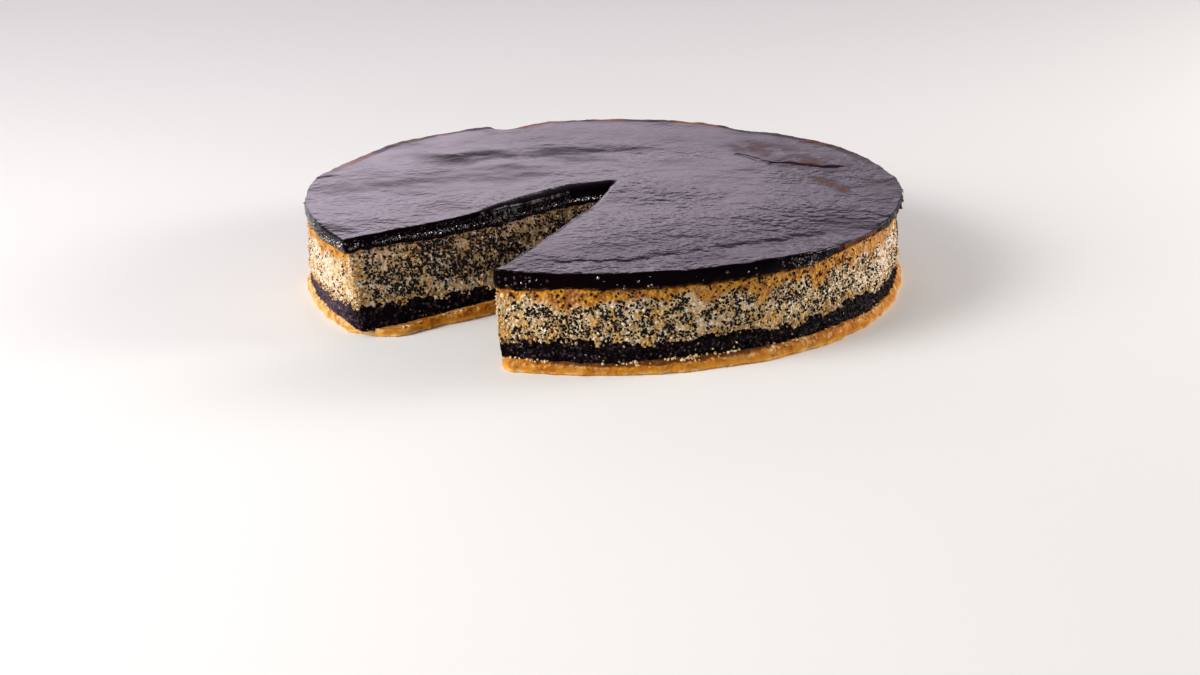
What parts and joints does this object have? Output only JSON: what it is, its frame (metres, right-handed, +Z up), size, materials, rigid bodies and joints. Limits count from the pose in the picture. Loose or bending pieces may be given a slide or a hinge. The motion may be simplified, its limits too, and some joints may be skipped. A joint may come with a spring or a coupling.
{
  "type": "poppy seed plum cheesecake",
  "caption": "Round layered cheesecake with a dark plum glaze, a poppy seed filling, a dark crumb layer and a golden pastry base, one slice cut out.",
  "frame": {"origin": "on the surface that the cake stands on, under the middle of its pastry base", "axes": "+Z up through the layers; the missing slice is between -X and -Y, nearest the viewer who looks along +Y"},
  "size_m": [0.2418, 0.2418, 0.0381],
  "materials": {
    "pastry": "baked golden shortcrust, dry and crumbly, with an uneven broken edge",
    "crumb": "near-black damp crumb, granular",
    "filling": "cream to golden baked curd full of black poppy seeds, satin and slightly moist",
    "glaze": "dark plum jelly, glossy, softly rippled"
  },
  "bodies": {
    "root": {"pastry_base": "pastry", "dark_crumb": "crumb", "cheesecake_filling": "filling", "plum_glaze": "glaze"}
  },
  "joints": []
}
